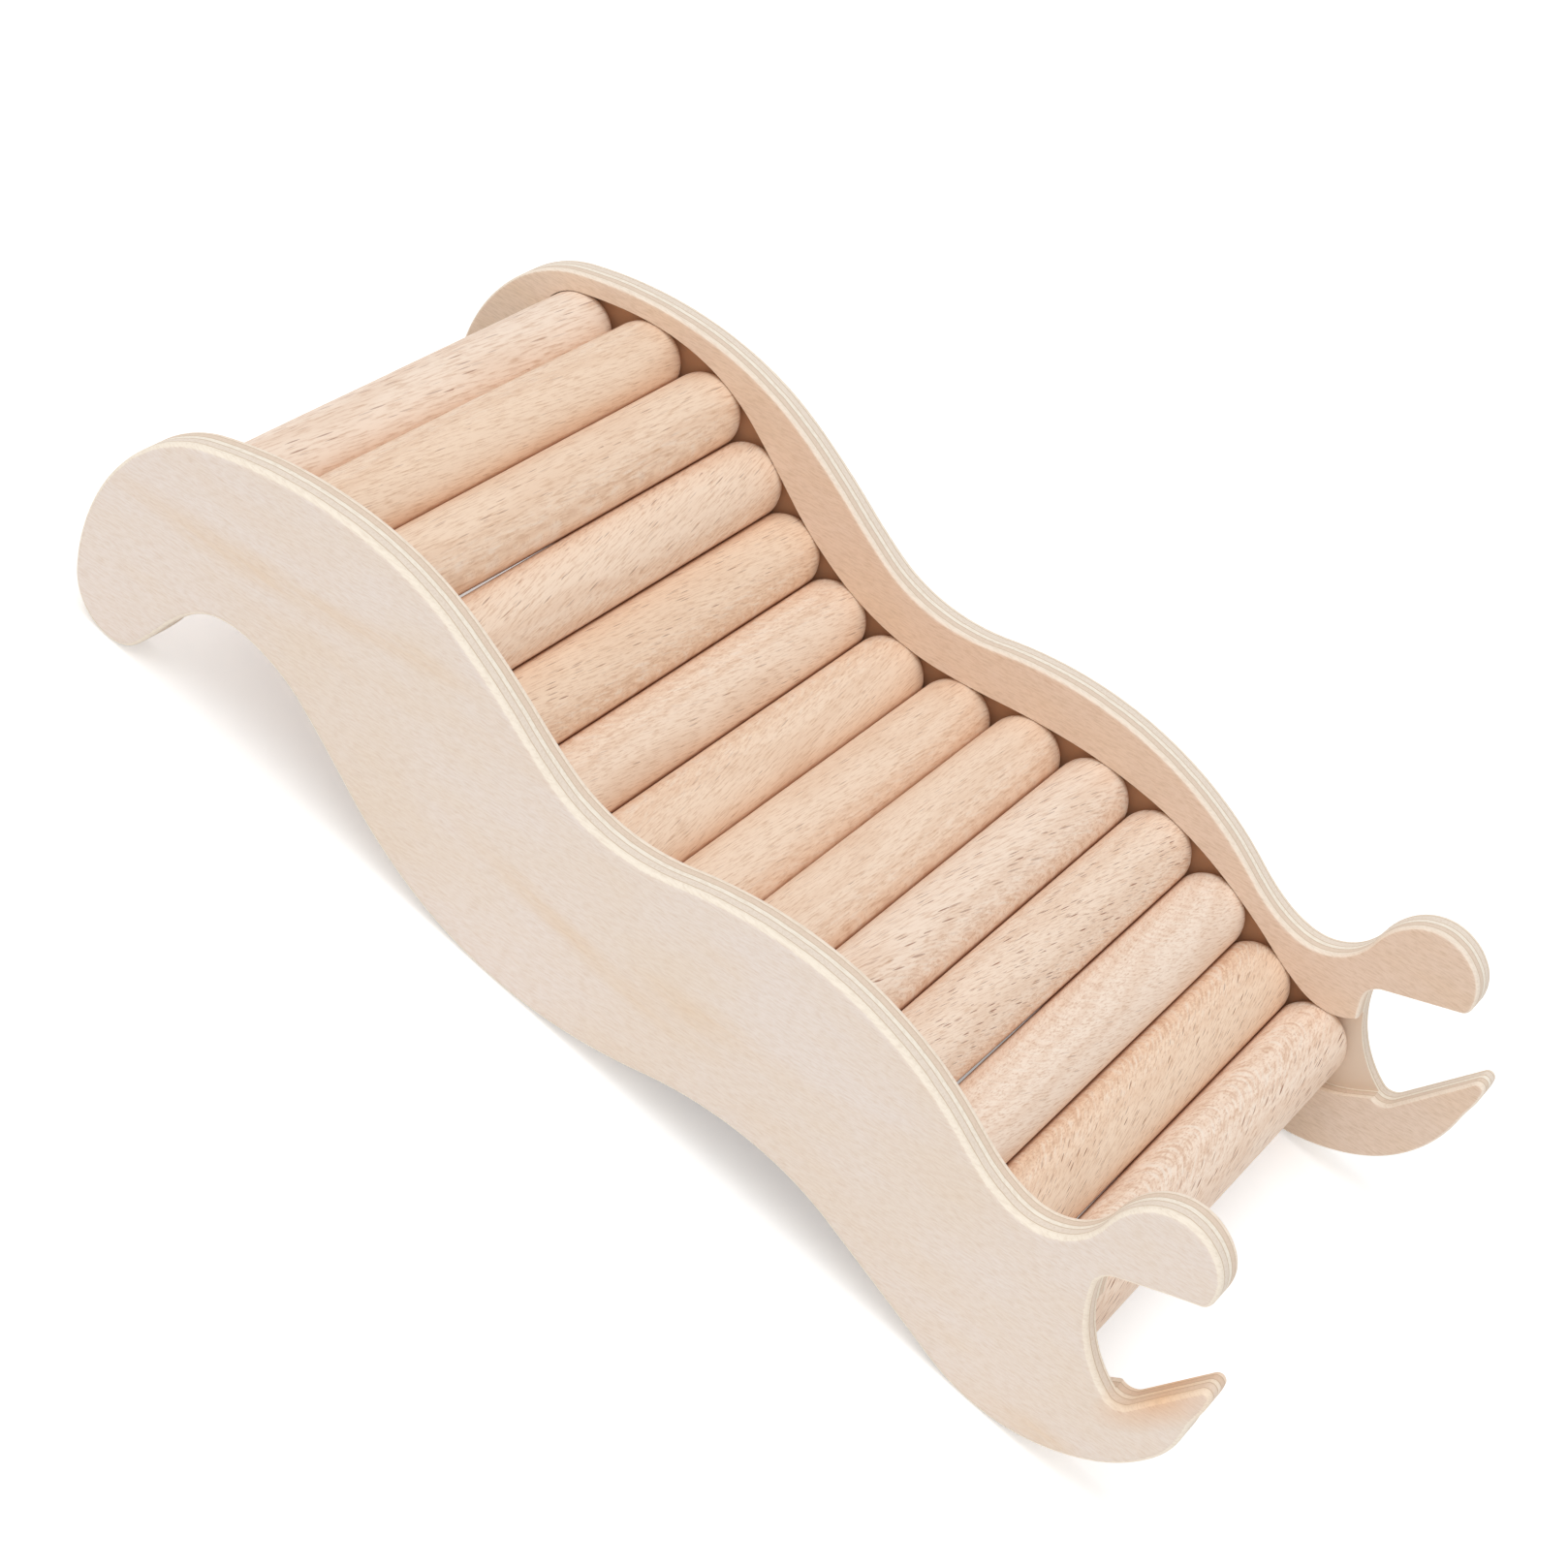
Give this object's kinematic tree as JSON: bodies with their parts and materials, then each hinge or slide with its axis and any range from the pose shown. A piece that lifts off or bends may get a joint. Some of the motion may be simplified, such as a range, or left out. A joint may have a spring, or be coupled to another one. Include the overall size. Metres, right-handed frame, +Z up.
{
  "type": "hamster bridge",
  "caption": "Wooden bridge for a small pet: round beech rungs glued side by side between two wavy plywood side panels with a hooked end and an open-mouthed end.",
  "frame": {"origin": "middle of the footprint, on the plane that the bridge stands on", "axes": "+X along the bridge from the hooked end to the open-mouthed end, +Y along the rungs, +Z up; the bridge stands on the bellies of its two side panels"},
  "size_m": [0.1632, 0.092, 0.037],
  "materials": {
    "plywood": "bare sanded birch plywood",
    "beech": "bare sanded beech dowel"
  },
  "bodies": {
    "root": {"front_side_panel": "plywood", "back_side_panel": "plywood", "rung_01": "beech", "rung_02": "beech", "rung_03": "beech", "rung_04": "beech", "rung_05": "beech", "rung_06": "beech", "rung_07": "beech", "rung_08": "beech", "rung_09": "beech", "rung_10": "beech", "rung_11": "beech", "rung_12": "beech", "rung_13": "beech", "rung_14": "beech"}
  },
  "joints": []
}
